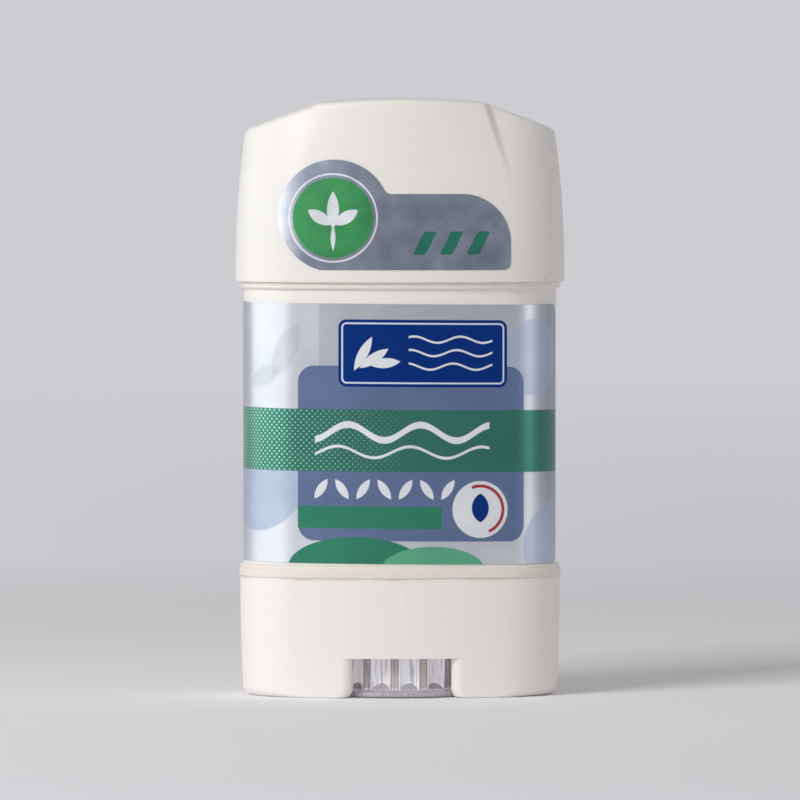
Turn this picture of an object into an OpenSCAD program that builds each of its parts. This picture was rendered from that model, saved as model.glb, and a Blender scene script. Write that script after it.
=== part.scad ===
// Twist-up deodorant pack: oval barrel, cap, base skirt and a clear dial that raises a piston.
// Millimetres. The origin is under the middle of the base, +Z is up and the front faces -Y.

/* [Barrel] */
// Width of the barrel, end to end
barrel_w = 60.7; // [57:0.1:64]
// Depth of the barrel, front to back
barrel_d = 34; // [32:0.5:37]
// How far the faces bow out beyond the round ends
face_bow = 2.5; // [1.5:0.1:3.5]
// Wall of the barrel
barrel_wall = 2.1; // [1.8:0.1:2.4]
// Height from the barrel's foot to the top of its collar bead
barrel_h = 57; // [53:0.5:62]
// Height of the foot bead
foot_bead_h = 1.8; // [1.2:0.1:2.4]
// How far the foot bead stands proud
foot_bead_out = 0.9; // [0.5:0.1:1.2]
// Height of the collar bead that the cap stands on
collar_h = 1.2; // [0.8:0.1:1.6]
// How far the collar bead stands proud
collar_out = 0.85; // [0.6:0.05:1.1]
// Thickness of the barrel's floor
floor_t = 1.8; // [1.4:0.1:2.4]
// Height of the barrel's floor above its foot
floor_rise = 1; // [0.5:0.1:3]

/* [Neck and snap bead] */
// Height of the neck above the collar bead
neck_h = 9.8; // [8.5:0.1:11]
// How far the neck is set in from the barrel's face
neck_step = 0.95; // [0.8:0.05:1.1]
// Height of the cap's snap bead above the collar
snap_rise = 4; // [3:0.5:5.5]
// Height of the snap bead
snap_h = 1.4; // [1:0.1:2]

/* [Cap] */
// How far the cap's mouth stands out from the barrel's face
cap_out = 1.65; // [1.4:0.05:2.1]
// Height of the cap at its middle
cap_h = 35.35; // [33:0.05:39]
// Drop from the cap's middle to the start of the shoulders
shoulder_drop = 0.75; // [0.4:0.05:2]
// Drop from the cap's middle to its corners
corner_drop = 5.95; // [4.5:0.05:8]
// Wall of the cap
cap_wall = 1.3; // [1:0.1:1.5]
// How much narrower each end is at the corners
cap_end_draft = 1.95; // [1:0.05:3]
// How much shallower each face is at the top
cap_face_draft = 2.4; // [1:0.1:3.5]
// Radius along the cap's top edge
cap_edge_r = 0.8; // [0.4:0.1:1]
// Width of the proud panel at the top
panel_w = 33.4; // [30:0.2:37]
// Width of the panel where its edges fade out
panel_foot_w = 46; // [42:0.5:50]
// Height at which the panel's edges fade out
panel_foot_h = 17.5; // [14:0.5:21]
// Step from the panel to the corners, at the top
panel_step = 1.3; // [0.6:0.1:1.8]
// Width of the sloping wall of that step
panel_edge_w = 1.4; // [1:0.1:2.5]

/* [Base skirt] */
// How far the base's top stands out from the barrel's face
base_out = 0.75; // [0.6:0.05:1.2]
// Height of the base
base_h = 23.2; // [21:0.1:26]
// Wall of the base
base_wall = 1.5; // [1.2:0.1:1.7]
// How much each side draws in towards the foot
base_draft = 0.65; // [0.3:0.05:1]
// Radius along the foot
base_edge_r = 2; // [1:0.1:2.2]
// Width of the rim that the pack stands on, with its radius
base_rim_w = 2.8; // [2.5:0.1:3]
// Height of the rim inside
base_rim_h = 1.4; // [1:0.1:2]
// Width of each thumb window
window_w = 18.9; // [16:0.1:21]
// Height of the wall between a thumb window and the bearing deck
window_head = 2.7; // [1.8:0.1:4]
// Radius down the window's upright edges
window_edge_r = 1.9; // [1.2:0.1:2.2]
// Radius at the window's lower corners
window_corner_r = 1.3; // [0.6:0.1:1.6]
// Height from the bearing deck's underside to the top of the base
deck_drop = 12.8; // [11.5:0.1:13.5]
// Thickness of the bearing deck
deck_t = 1.6; // [1.2:0.1:2]
// Height of the bearing boss above the deck
deck_boss_h = 1; // [0.6:0.1:1.6]
// Length of the barrel's spigot inside the base
spigot_h = 6.4; // [4:0.1:7]

/* [Dial] */
// How far the dial's flange lies behind the barrel's face
dial_set_back = 1; // [0.8:0.1:2.5]
// How far the flange stands out from the ridges
flange_w = 2.5; // [1.5:0.1:3.5]
// Number of flutes
flute_count = 15; // [12:1:18]
// Radius of each flute
flute_r = 2.2; // [1.8:0.1:2.4]
// Depth of each flute
flute_depth = 1.1; // [0.6:0.1:1.3]
// Height of the dial's underside
dial_z = 0.2; // [0.1:0.1:0.6]
// Gap between the dial and the bearing deck
dial_head = 1.4; // [1.2:0.1:2.4]
// Wall of the dial
dial_wall = 2; // [1.5:0.1:2.4]
// Thickness of the flange's edge
flange_t = 0.8; // [0.6:0.1:1.2]

/* [Screw] */
// Rise for one turn
lead = 6; // [5:0.5:7]
// Crest radius of the thread
thread_r = 4.5; // [4:0.1:4.6]
// Depth of the thread
thread_depth = 1.1; // [0.8:0.1:1.3]
// How much wider the plain shank is than the thread
shank_step = 0.1; // [0.1:0.05:0.5]
// Step from the shank to the journal in the bearing deck
journal_step = 0.4; // [0.3:0.1:1]
// Step from the journal to the snap collar above the deck
snap_collar_step = 1.6; // [1.2:0.1:2.2]
// Step from the journal to the shoulder under the deck
shoulder_step = 2; // [1.5:0.1:3]
// Radius across the corners of the hexagonal key
key_r = 2.9; // [2.4:0.1:3.2]

/* [Elevator] */
// Height of the elevator
elevator_h = 11.5; // [10:0.1:15]
// Gap left under the applicator's plug when the elevator is fully up
top_play = 1.4; // [0.5:0.1:6]
// Thickness of the elevator's deck and ribs
elevator_t = 1.5; // [1.2:0.1:2]
// Wall of the elevator's skirt
skirt_t = 1.2; // [1:0.1:1.5]
// Height of each wiper lip
lip_h = 1.2; // [0.8:0.1:2]
// How far the wiper lips stand proud of the skirt
lip_out = 0.5; // [0.3:0.1:0.8]
// Wall of the threaded hub
hub_wall = 3.5; // [2.5:0.1:4.5]
// Length of the thread in the hub
nut_h = 6; // [5:0.5:8]

/* [Applicator] */
// Rise of the dome above the neck
dome_rise = 10; // [9:0.1:12]
// Crown radius along the dome
dome_long_r = 60; // [52:1:80]
// Crown radius across the dome
dome_cross_r = 24; // [22:0.5:28]
// Wall of the dome
dome_wall = 1.4; // [1:0.1:1.8]
// Depth of the plug inside the neck
plug_h = 2.8; // [2:0.1:4]
// Wall of the plug
plug_wall = 1.2; // [0.8:0.1:1.5]
// Radius of each hole
hole_r = 1.2; // [0.8:0.1:1.4]
// Spacing of the holes along the dome
hole_pitch = 6; // [5:0.1:6.4]
// Spacing of the rows of holes
row_pitch = 5.6; // [4.5:0.1:6]

/* [Labels] */
// Thickness of the labels
label_t = 0.12; // [0.08:0.01:0.2]
// Gap left by the glue under a label
glue_t = 0.03; // [0.02:0.01:0.05]
// Space between the front label and the top of the barrel
front_label_head = 4; // [2.5:0.1:8]
// Height of the front label's foot above the barrel's foot
front_label_rise = 2.8; // [2.5:0.1:4]
// How far the front label stops short of the barrel's right end
front_label_right = 0.38; // [0.1:0.05:2]
// How far it reaches behind the barrel's left end
front_label_wrap = 2; // [1:0.1:4]
// Corner radius of the front label
front_label_r = 2.2; // [1:0.1:3]
// Tilt of the front label, clockwise
front_label_tilt = 0.45; // [0:0.05:0.6]
// Radius of the cap label's disc
disc_r = 10.83; // [9:0.01:11.5]
// Disc centre to the left of the middle
disc_left = 13.1; // [11:0.1:13.5]
// Disc centre above the cap's mouth
disc_up = 12.9; // [12:0.1:13.6]
// Right end of the cap label's bar, from the middle
bar_right = 21; // [18:0.1:22]
// Foot of the cap label above the cap's mouth
cap_label_foot = 2.45; // [2.2:0.05:4]
// Height of the bar
bar_h = 14.65; // [12:0.05:16]
// Radius at the bar's upper right corner
bar_corner_r = 9.4; // [4:0.1:10]
// Radius at the bar's lower right corner
bar_foot_r = 1.4; // [0.8:0.1:3]

/* [Clearances] */
// Snug gap between pieces that are snapped together
snap_gap = 0.1; // [0.06:0.01:0.14]
// Running gap round the screw
running_gap = 0.08; // [0.04:0.01:0.1]
// Gap between moving faces
moving_gap = 0.3; // [0.25:0.01:0.35]
// End play of the screw in the bearing deck
end_play = 0.2; // [0.1:0.05:0.3]
// Gap round the thread
thread_gap = 0.25; // [0.2:0.01:0.3]
// Gap between the cap's mouth and the collar bead
cap_gap = 0.15; // [0.1:0.05:0.3]

/* [Hidden] */
$fn = 96;

// The oval: two end arcs and two flatter face arcs that meet without a corner
half_w = barrel_w / 2;
half_d = barrel_d / 2;
end_r = half_d - face_bow;
end_x = half_w - end_r;

// Radius of the face arcs of an oval with half width w, half depth d and end radius r
function face_r(w, d, r) = ((w - r) * (w - r) + d * d - r * r) / (2 * (d - r));

front_r = face_r(half_w, half_d, end_r);
front_y = front_r - half_d;
end_a = atan2(front_y, end_x);
front_a = 90 - end_a;

// Levels
foot_z = base_h;
collar_z = foot_z + barrel_h;
neck_z = collar_z + neck_h;
floor_z = foot_z + floor_rise;
floor_top = floor_z + floor_t;
cap_z = collar_z + cap_gap;
elevator_z = floor_top + moving_gap;
elevator_top = elevator_z + elevator_h;
deck_z = base_h - deck_drop;
deck_top = deck_z + deck_t;
boss_top = deck_top + deck_boss_h;
dial_top = deck_z - dial_head;
dial_h = dial_top - dial_z;

// Faces of the shells, counted outwards from the barrel's face
inner_x = -barrel_wall;
base_in_x = base_out - base_wall;
spigot_x = base_in_x - snap_gap;
bow = 2.2;

// Points along an arc
function arc(x, z, r, a0, a1, n = 6) =
    [for (i = [0:n]) let (a = a0 + (a1 - a0) * i / n) [x + r * cos(a), z + r * sin(a)]];

// Points anticlockwise round the oval, o outside the barrel's face
end_steps = 14;
face_steps = 10;
function oval(o) = let (
        end = arc(end_x, 0, end_r + o, -end_a, end_a, end_steps),
        face = arc(0, -front_y, front_r + o, end_a, 180 - end_a, face_steps))
    [for (side = [1, -1]) each concat(
        [for (i = [0:end_steps - 1]) side * end[i]],
        [for (i = [0:face_steps - 1]) side * face[i]])];

// Two triangles for each four-sided face, with flat ones left out
function triangles(quads) = [
    for (f = quads, t = [[f[0], f[1], f[2]], [f[0], f[2], f[3]]])
        if (t[0] != t[1] && t[1] != t[2] && t[0] != t[2]) t];

// Carries a wall's closed section round the oval: points [out, z], anticlockwise, from the barrel's face
module around(section) {
    n = len(oval(0));
    m = len(section);
    polyhedron(
        [for (s = section, p = oval(s[0])) [p[0], p[1], s[1]]],
        triangles([
            for (j = [0:m - 1], i = [0:n - 1]) let (a = j * n, b = ((j + 1) % m) * n, k = (i + 1) % n)
                [a + i, b + i, b + k, a + k]]));
}

// A plate whose edge lies o outside the barrel's face
module plate(o, z0, z1) {
    translate([0, 0, z0]) linear_extrude(z1 - z0) polygon(oval(o));
}

// A straight wall round the oval, from i to o outside the barrel's face
module wall(i, o, z0, z1) {
    translate([0, 0, z0]) linear_extrude(z1 - z0) difference() {
        polygon(oval(o));
        polygon(oval(i));
    }
}

// Barrel
shank_r = thread_r + shank_step;
bush_r = shank_r + 2.9;
bush_z = foot_z - 5.2;
rib_t = 1.4;
rib_root = 0.8;

snap_z = collar_z + snap_rise;
snap_x = cap_out - cap_wall - moving_gap - 0.05;
barrel_section = concat(
    [[inner_x, foot_z - spigot_h], [spigot_x - 0.4, foot_z - spigot_h],
     [spigot_x, foot_z - spigot_h + 0.6], [spigot_x, foot_z]],
    [[foot_bead_out, foot_z]],
    arc(0, foot_z + foot_bead_h - foot_bead_out, foot_bead_out, 0, 90),
    [[0, collar_z - collar_h]],
    arc(collar_out - collar_h / 2, collar_z - collar_h / 2, collar_h / 2, -90, 90),
    [[-neck_step, collar_z], [-neck_step, snap_z], [snap_x, snap_z + snap_h / 3],
     [snap_x, snap_z + 2 * snap_h / 3], [-neck_step, snap_z + snap_h],
     [-neck_step, neck_z], [inner_x, neck_z]]);

module barrel() {
    color("whitesmoke") difference() {
        union() {
            around(barrel_section);
            plate(inner_x + rib_root, floor_z, floor_top);
            translate([0, 0, bush_z]) cylinder(r = bush_r, h = floor_top - bush_z);
            for (size = [[2 * (half_w + inner_x + rib_root), rib_t], [rib_t, 2 * (half_d + inner_x + rib_root)]])
                translate([-size[0] / 2, -size[1] / 2, foot_z - spigot_h + 1])
                    cube([size[0], size[1], floor_z - foot_z + spigot_h]);
        }
        translate([0, 0, foot_z - spigot_h - 1])
            cylinder(r = shank_r + running_gap, h = floor_top - foot_z + spigot_h + 2);
    }
}

// Base skirt
function base_face(z) = base_out - base_draft * pow(1 - z / base_h, bow);
base_foot_x = base_face(0);
window_x = window_w / 2;
window_h = deck_z - window_head;

// Distance of the front face from the middle at x, o outside the barrel's face
function face_y(x, o) = sqrt(pow(front_r + o, 2) - x * x) - front_y;

base_steps = 6;
base_rise = base_h - base_edge_r;
base_section = concat(
    [[base_foot_x - base_rim_w, 0]],
    arc(base_face(base_edge_r) - base_edge_r, base_edge_r, base_edge_r, -90, 0, 8),
    [for (i = [1:base_steps - 1]) let (z = base_edge_r + base_rise * i / base_steps) [base_face(z), z]],
    [[base_out, base_h - 0.3], [base_out - 0.3, base_h], [base_in_x, base_h]],
    [[base_in_x, deck_top], [base_foot_x - base_wall, base_rim_w + base_rim_h - base_wall],
     [base_foot_x - base_rim_w, base_rim_h]]);

module window() {
    flare = window_x + window_edge_r;
    face = face_y(flare, base_face(window_h / 2));
    translate([0, 0, -1]) linear_extrude(window_h + 1) difference() {
        translate([-flare, -barrel_d]) square([2 * flare, barrel_d]);
        for (s = [-1, 1]) {
            translate([s * flare, window_edge_r - face]) circle(r = window_edge_r);
            translate([s * flare - (s < 0 ? 0 : window_edge_r), window_edge_r - face])
                square([window_edge_r, barrel_d]);
        }
    }
    for (s = [-1, 1]) translate([s * window_x, 0, 0]) rotate([90, 0, 0]) linear_extrude(barrel_d)
        difference() {
            translate([s < 0 ? -window_corner_r : 0, -1]) square([window_corner_r, window_corner_r + 1]);
            translate([s * window_corner_r, window_corner_r]) circle(r = window_corner_r);
        }
}

journal_r = shank_r + journal_step;

module base() {
    color("whitesmoke") difference() {
        union() {
            around(base_section);
            plate(base_in_x + base_wall / 2, deck_z, deck_top);
            translate([0, 0, deck_z]) cylinder(r = journal_r + 3, h = boss_top - deck_z);
        }
        for (turn = [0, 180]) rotate([0, 0, turn]) window();
        translate([0, 0, deck_z - 1]) cylinder(r = journal_r + running_gap, h = boss_top - deck_z + 2);
    }
}

// Dial
hub_out_r = key_r + 2.2;
dial_flange_r = half_d - dial_set_back;
dial_r = dial_flange_r - flange_w;

module dial() {
    root = dial_r - flute_depth;
    bore = root - dial_wall;
    color("lavender", 0.5) difference() {
        union() {
            difference() {
                translate([0, 0, dial_z]) cylinder(r = dial_r, h = dial_h);
                for (i = [0:flute_count - 1]) rotate([0, 0, (i + 0.5) * 360 / flute_count])
                    translate([root + flute_r, 0, dial_z - 1]) cylinder(r = flute_r, h = dial_h + 2, $fn = 48);
            }
            translate([0, 0, dial_z]) rotate_extrude() polygon([
                [bore, 0], [dial_flange_r - 0.2, 0], [dial_flange_r, 0.2], [dial_flange_r, flange_t],
                [dial_r, flange_t + 0.5], [root - 0.4, flange_t + 2.1], [bore, flange_t + 2.1]]);
        }
        translate([0, 0, dial_z - 1]) difference() {
            cylinder(r = bore, h = dial_h + 1 - dial_wall);
            cylinder(r = hub_out_r, h = dial_h + 1);
        }
        translate([0, 0, dial_z - 1]) cylinder(r = hub_out_r + 1, h = 1.4);
        translate([0, 0, dial_z - 1]) cylinder(r = key_r + snap_gap / 2, h = dial_h + 2, $fn = 6);
    }
}

// Screw
thread_z = floor_top + 0.2;
travel = neck_z - plug_h - top_play - elevator_top;
thread_top = elevator_top + travel - 1.6;
collar_foot = boss_top + end_play;
collar_t = 1.2;

// The thread's section: two starts, g larger all round
thread_sides = 16;
thread_slices = 12;
function thread_section(g) = [
    for (i = [0:thread_sides - 1]) let (
        a = 360 * i / thread_sides,
        lift = min(1, max(0, 0.5 + 0.9 * cos(2 * a))))
    (thread_r - thread_depth * (1 - lift) + g) * [cos(a), sin(a)]];

module thread(z0, z1, g) {
    translate([0, 0, z0]) rotate([0, 0, 360 * (z0 - thread_z) / lead])
        linear_extrude(z1 - z0, twist = -360 * (z1 - z0) / lead, segments = thread_sides,
            slices = ceil(thread_slices * (z1 - z0) / lead))
            polygon(thread_section(g));
}

module screw() {
    color("gainsboro") {
        thread(thread_z, thread_top, 0);
        translate([0, 0, collar_foot + collar_t]) cylinder(r = shank_r, h = thread_z - collar_foot - collar_t);
        translate([0, 0, collar_foot]) cylinder(r1 = journal_r + snap_collar_step, r2 = shank_r, h = collar_t);
        translate([0, 0, deck_z - end_play]) cylinder(r = journal_r, h = collar_foot - deck_z + end_play);
        translate([0, 0, dial_top]) cylinder(r = journal_r + shoulder_step, h = deck_z - end_play - dial_top);
        translate([0, 0, dial_z + 1]) cylinder(r = key_r, h = dial_top - dial_z - 1, $fn = 6);
    }
}

// Elevator
lip_x = inner_x - moving_gap;
skirt_x = lip_x - lip_out;

elevator_section = [
    [skirt_x - skirt_t, elevator_z], [lip_x, elevator_z], [lip_x, elevator_z + lip_h],
    [skirt_x, elevator_z + lip_h + lip_out], [skirt_x, elevator_top - lip_h - lip_out],
    [lip_x, elevator_top - lip_h], [lip_x, elevator_top], [skirt_x - skirt_t, elevator_top]];

module elevator() {
    inside = skirt_x - skirt_t / 2;
    deck = elevator_top - elevator_t;
    color("white") difference() {
        union() {
            around(elevator_section);
            plate(inside, deck, elevator_top);
            translate([0, 0, elevator_z + 2]) cylinder(r = thread_r + hub_wall, h = elevator_h - 2);
            for (size = [[2 * (half_w + inside), elevator_t], [elevator_t, 2 * (half_d + inside)]])
                translate([-size[0] / 2, -size[1] / 2, elevator_z + 4])
                    cube([size[0], size[1], elevator_h - 4]);
        }
        union() {
            translate([0, 0, elevator_z]) cylinder(r = thread_r + 0.5, h = elevator_h - nut_h);
            thread(elevator_top - nut_h - 0.37, elevator_top + 0.41, thread_gap);
        }
    }
}

// Applicator
neck_x = -neck_step;
plug_x = inner_x - snap_gap;
dome_top = neck_z + dome_rise;
hole_cols = 7;

// Everything under the dome's crown, t below its outer face
module under_dome(t) {
    long_r = dome_long_r - t;
    cross_r = dome_cross_r - t;
    translate([0, 0, dome_top - dome_cross_r]) rotate([0, 90, 0]) rotate_extrude($fn = 180)
        intersection() {
            translate([cross_r - long_r, 0]) circle(r = long_r, $fn = 360);
            translate([0, -barrel_w]) square([barrel_w, 2 * barrel_w]);
        }
}

module holes() {
    for (row = [-1:1]) let (cols = row == 0 ? hole_cols : hole_cols - 1)
        for (i = [0:cols - 1])
            translate([(i - (cols - 1) / 2) * hole_pitch, row * row_pitch, neck_z])
                cylinder(r = hole_r, h = dome_rise + 1, $fn = 48);
}

module applicator() {
    color("white") {
        difference() {
            intersection() {
                plate(neck_x, neck_z, dome_top + 1);
                under_dome(0);
            }
            intersection() {
                plate(neck_x - dome_wall, neck_z - 1, dome_top + 1);
                under_dome(dome_wall);
            }
            holes();
        }
        wall(plug_x - plug_wall, plug_x, neck_z - plug_h, neck_z + 0.9);
    }
}

// Cream
module cream() {
    throat = plug_x - plug_wall - moving_gap;
    plug_foot = neck_z - plug_h - moving_gap;
    color("ivory") difference() {
        union() {
            plate(inner_x - moving_gap, elevator_top, plug_foot);
            intersection() {
                plate(throat, plug_foot - 1, dome_top);
                under_dome(dome_wall + moving_gap);
            }
        }
        translate([0, 0, elevator_top - 1]) cylinder(r = thread_r + moving_gap, h = thread_top - elevator_top + 1.3);
    }
}

// Front label: a strip round the front, cut to its outline
front_label_h = barrel_h - front_label_rise - front_label_head;

module front_label() {
    z0 = foot_z + front_label_rise;
    left = half_w + label_t + 1;
    right = half_w - front_label_right;
    color("lightsteelblue") intersection() {
        translate([0, 0, z0 - 1]) linear_extrude(front_label_h + 2) difference() {
            polygon(oval(glue_t + label_t));
            polygon(oval(glue_t));
            square([barrel_w, barrel_d]);
            translate([-barrel_w, front_label_wrap]) square([2 * barrel_w, barrel_d]);
        }
        translate([0, 0, z0 + front_label_h / 2]) rotate([90, front_label_tilt, 0])
            linear_extrude(2 * barrel_d, center = true) {
                translate([-left, -front_label_h / 2]) square([left + right - front_label_r, front_label_h]);
                translate([-left, front_label_r - front_label_h / 2])
                    square([left + right, front_label_h - 2 * front_label_r]);
                for (s = [-1, 1]) translate([right - front_label_r, s * (front_label_h / 2 - front_label_r)])
                    circle(r = front_label_r);
            }
    }
}

// Cap. Heights are counted from its mouth, and a column runs up each place round it
panel_cols = 5;
edge_cols = 3;
end_cols = 12;
quarter = panel_cols + edge_cols + end_cols;
cap_shoulder_h = cap_h - shoulder_drop;
cap_corner_h = cap_h - corner_drop;

function ease(t) = let (u = min(1, max(0, t))) u * u * (3 - 2 * u);
function cap_half_w(z) = half_w + cap_out - cap_end_draft * pow(z / cap_corner_h, bow);
function cap_half_d(z) = half_d + cap_out - cap_face_draft * pow(z / cap_h, 1.6);

// Half width of the proud panel at height z
function panel_x(z) = let (t = max(0, (z - panel_foot_h) / (cap_shoulder_h - panel_foot_h)))
    panel_foot_w / 2 + (panel_w - panel_foot_w) / 2 * min(1, t);

// How far the corners lie behind the panel at height z
function step_at(z) = panel_step * pow(max(0, (z - panel_foot_h) / (cap_shoulder_h - panel_foot_h)), 1.2);

// Height of the top at x
function top_z(x) = let (p = panel_w / 2, w = half_w + cap_out - cap_end_draft)
    x < p ? cap_h - (cap_h - cap_shoulder_h) * x * x / (p * p)
          : cap_shoulder_h - (cap_shoulder_h - cap_corner_h) * (x - p) / (w - p);

// Half depth at x of the cap's plain oval at height z, o outside its face
function plain_y(x, z, o) = let (
        w = cap_half_w(z) + o, d = cap_half_d(z) + o, r = end_r + cap_out + o + cap_half_w(z) - half_w - cap_out,
        f = face_r(w, d, r), tangent = (w - r) * f / (f - r))
    x < tangent ? sqrt(f * f - x * x) - f + d : sqrt(max(0, r * r - pow(x - w + r, 2)));

// x of column k at height z
function column_x(k, z, o) = let (p = panel_x(z), e = p + panel_edge_w)
    k <= panel_cols ? p * k / panel_cols
    : k <= panel_cols + edge_cols ? p + panel_edge_w * (k - panel_cols) / edge_cols
    : e + (cap_half_w(z) + o - e) * sin(90 * (k - panel_cols - edge_cols) / end_cols);

// Point of column k at height z, in the quarter where x and y are positive
function column(k, z, o) = let (
        x = column_x(k, z, o),
        y = plain_y(x, z, o),
        e = panel_x(z) + panel_edge_w,
        s = ease((x - panel_x(z)) / panel_edge_w) * step_at(z) / plain_y(e, z, o))
    [x, y * (1 - s)];

// Height at which column k meets the top
function column_top(k) = top_z(column_x(k, cap_corner_h + 2.5, 0));

// A ring of columns, in order round the cap, from a list of the first quarter's points
function ring(q) = [
    for (i = [0:4 * quarter - 1]) let (
        turn = floor(i / quarter), k = i % quarter,
        p = q[turn % 2 == 0 ? k : quarter - k])
    [p[0] * (turn < 2 ? 1 : -1), p[1] * (turn == 0 || turn == 3 ? -1 : 1), p[2]]];

function side_ring(f, o, drop) = ring([
    for (k = [0:quarter]) let (z = f * (column_top(k) - drop), p = column(k, z, o)) [p[0], p[1], z]]);

function fillet_ring(a, o, drop) = ring([
    for (k = [0:quarter]) let (
        z = column_top(k) - drop - cap_edge_r * (1 - sin(a)),
        p = column(k, z, o - cap_edge_r * (1 - cos(a))))
    [p[0], p[1], z]]);

// Rows across the top between the front and back of the last ring, which lies in by o
rows = 6;
crown = 0.3;
function top_rows(o, drop) = [
    for (j = [1:rows - 1], c = [1 - quarter:quarter - 1]) let (
        z = column_top(abs(c)) - drop, v = 2 * j / rows - 1, p = column(abs(c), z, o))
    [sign(c) * p[0], v * p[1], z + crown * (1 - v * v)]];

// Number of a point on top, for column c and row j, where n points come before the last ring
function top_point(c, j, n) =
    j == 0 || abs(c) == quarter ? n + (4 * quarter + c) % (4 * quarter)
    : j == rows ? n + 2 * quarter - c
    : n + 4 * quarter + (j - 1) * (2 * quarter - 1) + c + quarter - 1;

// Faces between two rings that start at points a and b
function band(a, b) = [
    for (i = [0:4 * quarter - 1]) let (j = (i + 1) % (4 * quarter)) [a + i, b + i, b + j, a + j]];

function top_faces(n) = [
    for (c = [-quarter:quarter - 1], j = [0:rows - 1])
        [top_point(c, j, n), top_point(c, j + 1, n), top_point(c + 1, j + 1, n), top_point(c + 1, j, n)]];

function flipped(quads) = [for (f = quads) [f[3], f[2], f[1], f[0]]];

module cap() {
    lip = 0.25;
    outer_f = [0.2, 0.4, 0.53, 0.63, 0.73, 0.83, 0.92, 1];
    inner_f = [0.3, 0.53, 0.7, 0.86, 1];
    per = 4 * quarter;
    outer = concat(
        [ring([for (k = [0:quarter]) let (p = column(k, 0, -lip)) [p[0], p[1], 0]])],
        [ring([for (k = [0:quarter]) let (p = column(k, lip, 0)) [p[0], p[1], lip]])],
        [for (f = outer_f) side_ring(f, 0, cap_edge_r)],
        [for (a = [30, 60, 90]) fillet_ring(a, 0, 0)]);
    inner = concat(
        [ring([for (k = [0:quarter]) let (p = column(k, 0, -cap_wall)) [p[0], p[1], 0]])],
        [for (f = inner_f) side_ring(f, -cap_wall, cap_wall)]);
    outer_top = top_rows(-cap_edge_r, 0);
    inner_top = top_rows(-cap_wall, cap_wall);
    inner_start = len(outer) * per + len(outer_top);
    faces = concat(
        [for (i = [0:len(outer) - 2]) each band(i * per, (i + 1) * per)],
        top_faces((len(outer) - 1) * per),
        flipped(band(0, inner_start)),
        [for (i = [0:len(inner) - 2]) each flipped(band(inner_start + i * per, inner_start + (i + 1) * per))],
        flipped(top_faces(inner_start + (len(inner) - 1) * per)));
    color("white") translate([0, 0, cap_z])
        polyhedron(
            concat([for (r = outer) each r], outer_top, [for (r = inner) each r], inner_top),
            triangles(faces));
}

// Cap label: a thin sheet that follows the cap's face, cut to its outline
module bar(w) {
    intersection() {
        union() {
            square([w - bar_corner_r, bar_h]);
            square([w, bar_h - bar_corner_r]);
            translate([w - bar_corner_r, bar_h - bar_corner_r]) circle(r = bar_corner_r);
        }
        union() {
            square([w - bar_foot_r, bar_h]);
            translate([0, bar_foot_r]) square([w, bar_h]);
            translate([w - bar_foot_r, bar_foot_r]) circle(r = bar_foot_r);
        }
    }
}

module cap_label_outline() {
    neck_r = 1.6;
    bar_top = cap_label_foot + bar_h;
    reach = disc_r + neck_r;
    fillet_x = sqrt(reach * reach - pow(bar_top + neck_r - disc_up, 2));
    translate([-disc_left, 0]) difference() {
        union() {
            translate([0, disc_up]) circle(r = disc_r);
            translate([0, cap_label_foot]) bar(bar_right + disc_left);
            translate([0, bar_top]) square([fillet_x, neck_r]);
        }
        translate([fillet_x, bar_top + neck_r]) circle(r = neck_r);
        translate([-disc_r, cap_label_foot - disc_r]) square([2 * disc_r, disc_r]);
    }
}

module cap_label() {
    cols = 24;
    levels = 6;
    x0 = -disc_left - disc_r - 1;
    x1 = bar_right + 1;
    z0 = cap_label_foot - 1;
    z1 = disc_up + disc_r + 1;
    per = (cols + 1) * (levels + 1);
    // Columns lie closer together towards the ends, where the cap's face turns
    function place(i, j, o) = let (
            x = x0 + (x1 - x0) * (1 - cos(180 * i / cols)) / 2,
            z = z0 + (z1 - z0) * j / levels)
        [x, -plain_y(abs(x), z, o), z];
    function at(i, j) = i * (levels + 1) + j;
    sheet = [for (i = [0:cols - 1], j = [0:levels - 1]) [at(i, j), at(i, j + 1), at(i + 1, j + 1), at(i + 1, j)]];
    edges = concat(
        [for (i = [0:cols - 1]) [at(i, 0), at(i + 1, 0), at(i + 1, 0) + per, at(i, 0) + per]],
        [for (i = [0:cols - 1]) [at(i, levels) + per, at(i + 1, levels) + per, at(i + 1, levels), at(i, levels)]],
        [for (j = [0:levels - 1]) [at(0, j) + per, at(0, j + 1) + per, at(0, j + 1), at(0, j)]],
        [for (j = [0:levels - 1]) [at(cols, j), at(cols, j + 1), at(cols, j + 1) + per, at(cols, j) + per]]);
    back = [for (f = sheet) [f[3] + per, f[2] + per, f[1] + per, f[0] + per]];
    color("slategray") translate([0, 0, cap_z]) intersection() {
        polyhedron(
            [for (o = [glue_t + label_t, glue_t], i = [0:cols], j = [0:levels]) place(i, j, o)],
            triangles(concat(sheet, edges, back)));
        rotate([90, 0, 0]) linear_extrude(barrel_d) cap_label_outline();
    }
}

cap();
cap_label();
barrel();
front_label();
applicator();
cream();
elevator();
screw();
dial();
base();
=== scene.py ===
# The looks of a twist-up deodorant pack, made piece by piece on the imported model's frame.
# Lengths are in metres. The front faces -Y and the pack stands on z = 0.
import math

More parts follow.
